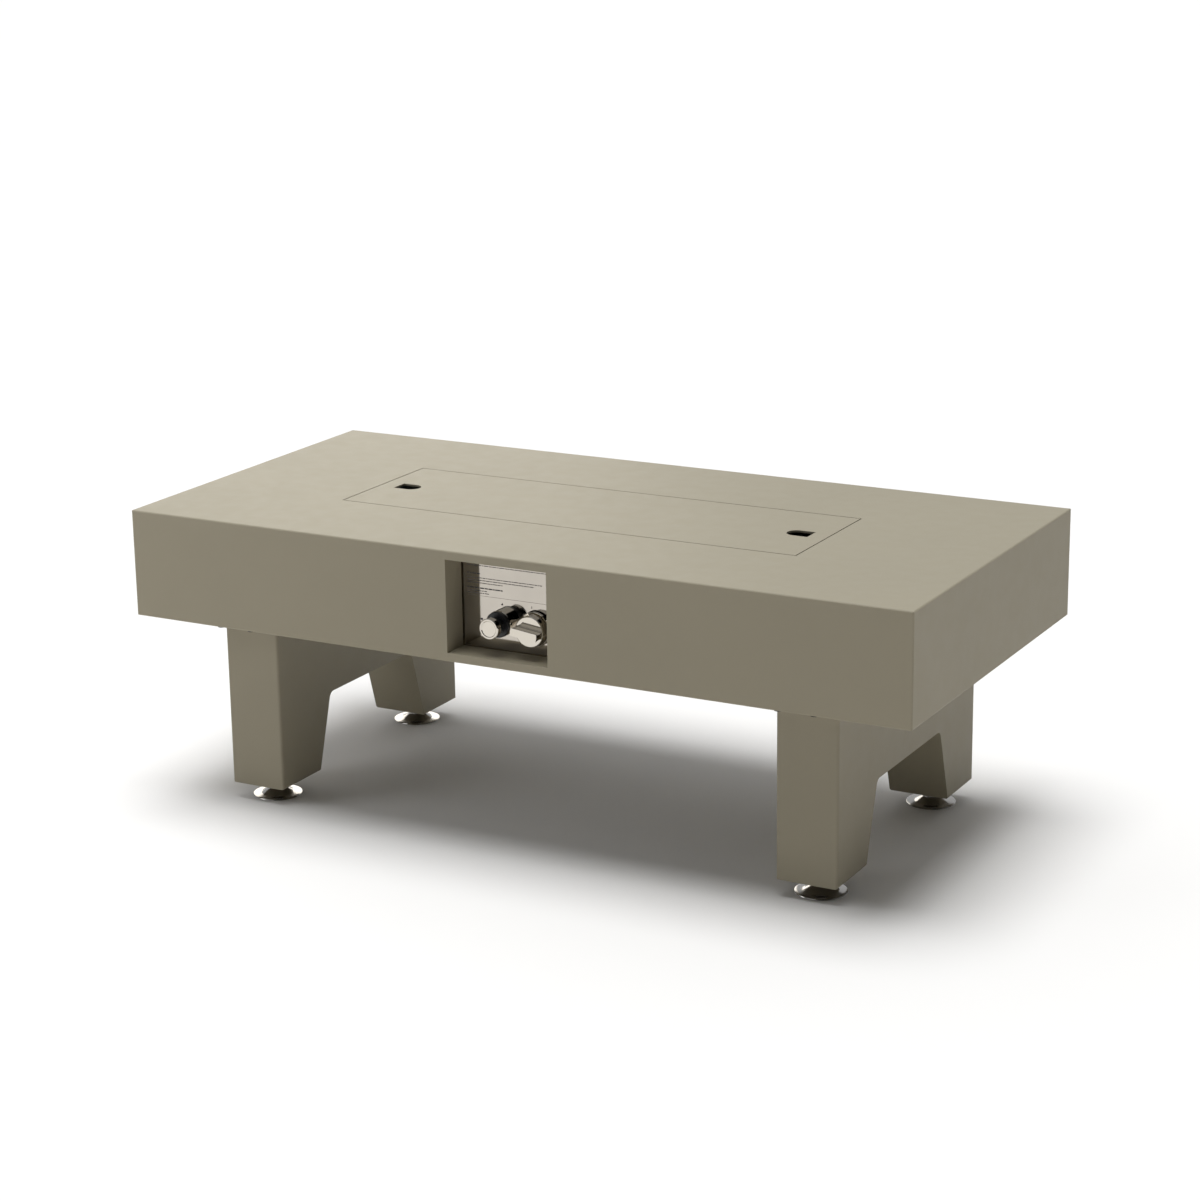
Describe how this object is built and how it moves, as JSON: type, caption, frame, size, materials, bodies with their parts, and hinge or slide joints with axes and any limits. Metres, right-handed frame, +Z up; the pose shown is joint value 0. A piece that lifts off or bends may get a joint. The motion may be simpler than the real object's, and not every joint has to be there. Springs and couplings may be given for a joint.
{
  "type": "fire pit table",
  "caption": "Low rectangular gas fire pit table with a flush lift-off lid, a front control recess, arched leg frames and levelling feet.",
  "frame": {"origin": "floor level under the middle of the table", "axes": "+X along the table to the right as seen from the controls, -Y towards the controls, +Z up"},
  "size_m": [1.27, 0.61, 0.457],
  "materials": {
    "powder_coat": "matt, fine texture",
    "inner_coat": "matt",
    "mirror_steel": "polished",
    "stainless": "mill finish",
    "zinc": "zinc plated",
    "chrome": "polished",
    "brass": "machined",
    "cast_aluminium": "as cast",
    "black_plastic": "moulded",
    "rubber": "matt",
    "ceramic": "glazed",
    "copper": "drawn tube",
    "hose_braid": "corrugated cover",
    "red_lead": "silicone"
  },
  "bodies": {
    "table": {"table_shell": "powder_coat", "lid_ledge": "inner_coat", "left_cross_rail": "zinc", "right_cross_rail": "zinc", "rail_screws": "zinc", "rail_nuts": "zinc", "left_leg_frame": "powder_coat", "right_leg_frame": "powder_coat", "leg_bolts": "zinc", "foot_inserts": "zinc", "foot_locknuts": "zinc", "burner_pan": "stainless", "burner_tube": "stainless", "burner_saddles": "stainless", "burner_nipple": "brass", "nipple_nut": "zinc", "gas_elbow": "cast_aluminium", "air_mixer": "cast_aluminium", "gas_jet": "brass", "pilot_bracket": "stainless", "electrode_insulator": "ceramic", "electrode_rod": "stainless", "thermocouple": "copper", "heat_shield": "stainless", "recess_box": "powder_coat", "plate_spacers": "zinc", "control_plate": "mirror_steel", "plate_screws": "zinc", "igniter_body": "black_plastic", "igniter_bezel": "chrome", "igniter_nut": "black_plastic", "igniter_terminal": "brass", "igniter_spring": "zinc", "valve_body": "cast_aluminium", "valve_cap": "brass", "valve_panel_nut": "zinc", "gas_inlet": "brass", "gas_hose": "hose_braid", "hose_nuts": "brass", "spark_lead": "red_lead", "thermocouple_lead": "copper"},
    "lid": {"lid_panel": "powder_coat", "lid_stiffeners": "inner_coat", "lid_pads": "rubber"},
    "ignition_button": {"button_cap": "chrome", "button_plunger": "black_plastic"},
    "valve_rotor": {"valve_plug": "brass", "valve_spring": "zinc"},
    "knob": {"valve_stem": "zinc", "gas_knob": "chrome"},
    "front_left_levelling_foot": {"front_left_foot": "chrome", "front_left_stud": "zinc"},
    "front_right_levelling_foot": {"front_right_foot": "chrome", "front_right_stud": "zinc"},
    "rear_left_levelling_foot": {"rear_left_foot": "chrome", "rear_left_stud": "zinc"},
    "rear_right_levelling_foot": {"rear_right_foot": "chrome", "rear_right_stud": "zinc"}
  },
  "joints": [
    {"name": "lid_lift", "type": "slide", "parent": "table", "child": "lid", "axis": [0, 0, 1], "range_m": [0, 0.12]},
    {"name": "ignition_press", "type": "slide", "parent": "table", "child": "ignition_button", "axis": [0, 1, 0], "range_m": [0, 0.008], "stiffness_N_per_m": 800, "springref_m": -0.004, "deforming": ["igniter_spring"]},
    {"name": "knob_turn", "type": "hinge", "parent": "table", "child": "valve_rotor", "pos_m": [0.038, -0.2575, 0.3445], "axis": [0, -1, 0], "range_deg": [0, 90]},
    {"name": "knob_press", "type": "slide", "parent": "valve_rotor", "child": "knob", "axis": [0, 1, 0], "range_m": [0, 0.003], "stiffness_N_per_m": 1500, "springref_m": -0.003, "deforming": ["valve_spring"]},
    {"name": "front_left_foot_screw", "type": "slide", "parent": "table", "child": "front_left_levelling_foot", "axis": [0, 0, -1], "range_m": [0, 0.015]},
    {"name": "front_right_foot_screw", "type": "slide", "parent": "table", "child": "front_right_levelling_foot", "axis": [0, 0, -1], "range_m": [0, 0.015]},
    {"name": "rear_left_foot_screw", "type": "slide", "parent": "table", "child": "rear_left_levelling_foot", "axis": [0, 0, -1], "range_m": [0, 0.015]},
    {"name": "rear_right_foot_screw", "type": "slide", "parent": "table", "child": "rear_right_levelling_foot", "axis": [0, 0, -1], "range_m": [0, 0.015]}
  ]
}
